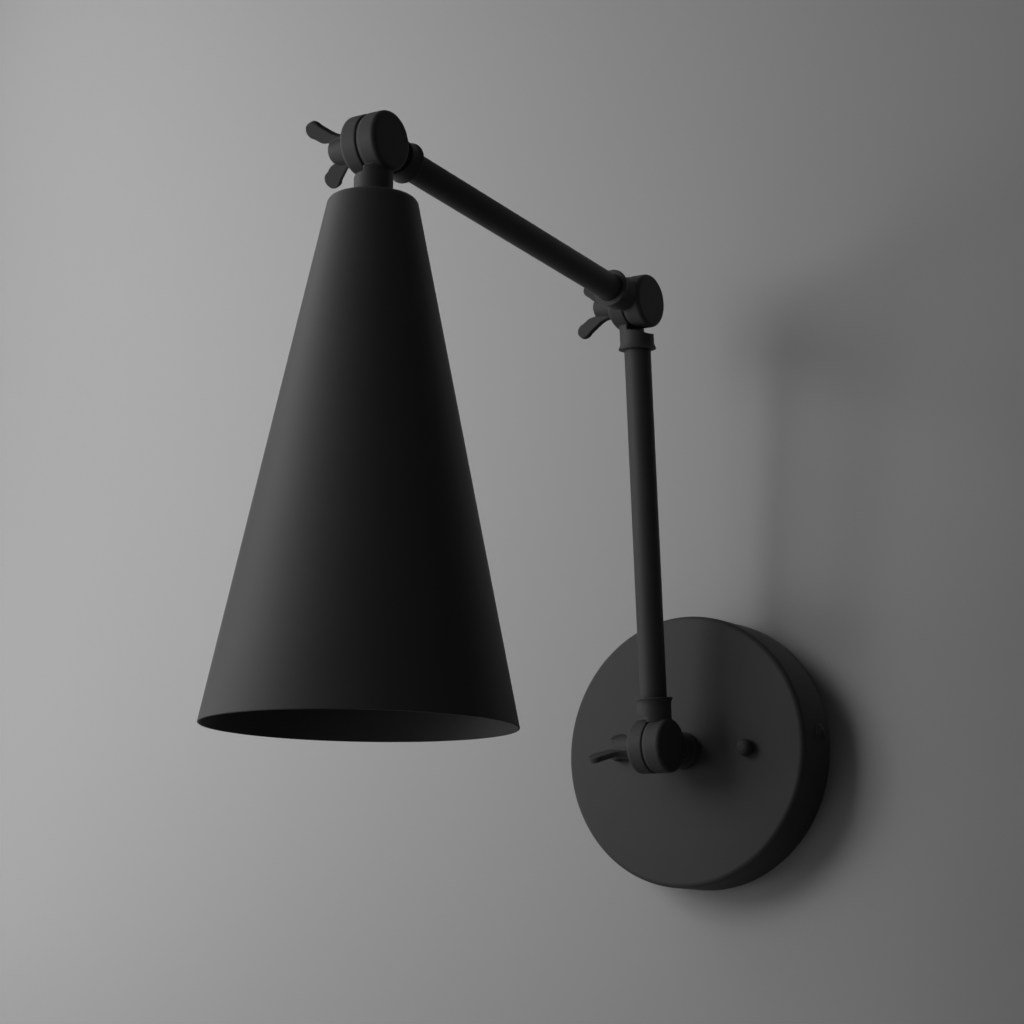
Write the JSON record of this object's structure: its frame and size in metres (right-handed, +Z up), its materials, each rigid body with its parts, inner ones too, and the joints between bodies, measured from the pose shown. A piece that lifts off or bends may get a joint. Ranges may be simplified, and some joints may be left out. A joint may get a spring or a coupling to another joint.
{
  "type": "accordion wall lamp",
  "caption": "Wall lamp with a round canopy, two straight arms on friction swivels with wing nuts, and a deep conical shade.",
  "frame": {"origin": "centre of the canopy's back face, on the wall", "axes": "+Z up, +Y into the wall, so the lamp stands out along -Y; +X to the right seen from the room; all swivels turn about X"},
  "size_m": [0.1312, 0.3412, 0.3076],
  "materials": {
    "canopy_paint": "fine matte black powder coat",
    "arm_paint": "fine matte black powder coat",
    "shade_paint": "smooth matte black powder coat, inside and out",
    "nut_paint": "matte black over a cast surface",
    "side_plug_metal": "satin black, worn bright on its dome",
    "zinc_plate": "zinc-plated steel",
    "joint_steel": "blackened steel",
    "fibre": "pressed black fibre",
    "ground_green": "green plated steel",
    "phenolic": "moulded black phenolic",
    "shell_aluminium": "drawn aluminium",
    "contact_brass": "bare brass"
  },
  "bodies": {
    "wall_side": {"canopy": "canopy_paint", "side_plug": "side_plug_metal", "crossbar": "zinc_plate", "canopy_studs": "zinc_plate", "canopy_knobs": "nut_paint", "stud_locknuts": "zinc_plate", "ground_screw": "ground_green", "wall_swivel_half": "arm_paint", "wall_check_ring": "arm_paint", "wall_nipple": "zinc_plate", "wall_lock_washer": "zinc_plate", "wall_locknut": "zinc_plate", "wall_joint_flat_washer": "joint_steel", "wall_joint_spring_washer": "joint_steel"},
    "lower_arm": {"lower_arm_foot_half": "arm_paint", "lower_arm_tube": "arm_paint", "lower_arm_nipples": "zinc_plate", "lower_arm_head_half": "arm_paint", "wall_joint_stud": "joint_steel", "wall_joint_friction_washer": "fibre", "elbow_joint_flat_washer": "joint_steel", "elbow_joint_spring_washer": "joint_steel"},
    "upper_arm": {"upper_arm_foot_half": "arm_paint", "upper_arm_tube": "arm_paint", "upper_arm_nipples": "zinc_plate", "upper_arm_head_half": "arm_paint", "elbow_joint_stud": "joint_steel", "elbow_joint_friction_washer": "fibre", "shade_joint_flat_washer": "joint_steel", "shade_joint_spring_washer": "joint_steel"},
    "shade_head": {"shade_swivel_half": "arm_paint", "shade_joint_stud": "joint_steel", "shade_joint_friction_washer": "fibre", "shade_check_ring": "arm_paint", "shade": "shade_paint", "shade_nipple": "zinc_plate", "shade_lock_washer": "zinc_plate", "shade_locknut": "zinc_plate", "lampholder_cap": "zinc_plate", "cap_set_screw": "zinc_plate", "lampholder_body": "phenolic", "screw_shell": "shell_aluminium", "centre_contact": "contact_brass", "terminal_screws": "contact_brass"},
    "wall_joint_nut": {"wall_joint_wing_nut": "nut_paint"},
    "elbow_joint_nut": {"elbow_joint_wing_nut": "nut_paint"},
    "shade_joint_nut": {"shade_joint_wing_nut": "nut_paint"}
  },
  "joints": [
    {"name": "wall_joint", "type": "hinge", "parent": "wall_side", "child": "lower_arm", "pos_m": [0, -0.0512, 0], "axis": [1, 0, 0], "range_deg": [-15.5, 97]},
    {"name": "elbow_joint", "type": "hinge", "parent": "lower_arm", "child": "upper_arm", "pos_m": [0, -0.07199, 0.21048], "axis": [-1, 0, 0], "range_deg": [-36, 100]},
    {"name": "shade_joint", "type": "hinge", "parent": "upper_arm", "child": "shade_head", "pos_m": [0, -0.27747, 0.22986], "axis": [1, 0, 0], "range_deg": [-212, 21]},
    {"name": "wall_joint_wing_nut_turn", "type": "hinge", "parent": "lower_arm", "child": "wall_joint_nut", "pos_m": [0, -0.0512, 0], "axis": [-1, 0, 0], "range_deg": [0, 360]},
    {"name": "elbow_joint_wing_nut_turn", "type": "hinge", "parent": "upper_arm", "child": "elbow_joint_nut", "pos_m": [0, -0.07199, 0.21048], "axis": [-1, 0, 0], "range_deg": [0, 360]},
    {"name": "shade_joint_wing_nut_turn", "type": "hinge", "parent": "shade_head", "child": "shade_joint_nut", "pos_m": [0, -0.27747, 0.22986], "axis": [-1, 0, 0], "range_deg": [0, 360]}
  ]
}
